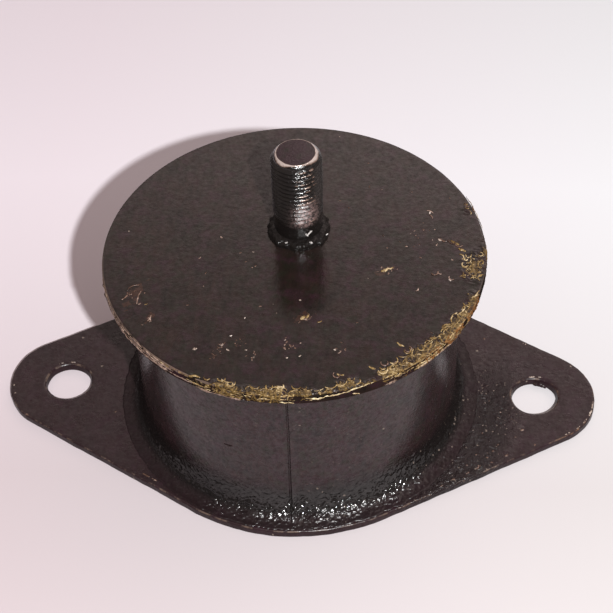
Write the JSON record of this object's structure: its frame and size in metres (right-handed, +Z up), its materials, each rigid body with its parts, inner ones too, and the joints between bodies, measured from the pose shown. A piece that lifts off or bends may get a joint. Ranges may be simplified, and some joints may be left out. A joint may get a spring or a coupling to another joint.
{
  "type": "engine mount",
  "caption": "Bonded rubber engine mount: round rubber block between a two-lug steel base plate and a steel disc that carries one threaded stud.",
  "frame": {"origin": "underside of the base plate, midway between its two bolt holes, on the axis of the rubber block", "axes": "+Z up, out of the base plate and along the stud; +X through the two bolt holes, to the side on which the stud sits a little off the middle; +Y towards the side of the disc on which the stud stands"},
  "size_m": [0.1572, 0.096, 0.0789],
  "materials": {
    "black_painted_plate": "semi-gloss black paint over sheet steel, pale and worn at the edges",
    "black_rubber": "moulded rubber under a thin coat of the same black paint",
    "black_painted_disc": "semi-gloss black paint, golden-brown flakes on the rim",
    "painted_stud": "glossy black paint on the thread, bare steel on the chamfer",
    "painted_weld": "glossy black paint over a rough weld bead"
  },
  "bodies": {
    "root": {"base_plate": "black_painted_plate", "rubber_block": "black_rubber", "top_plate": "black_painted_disc", "stud": "painted_stud", "stud_weld": "painted_weld"}
  },
  "joints": []
}
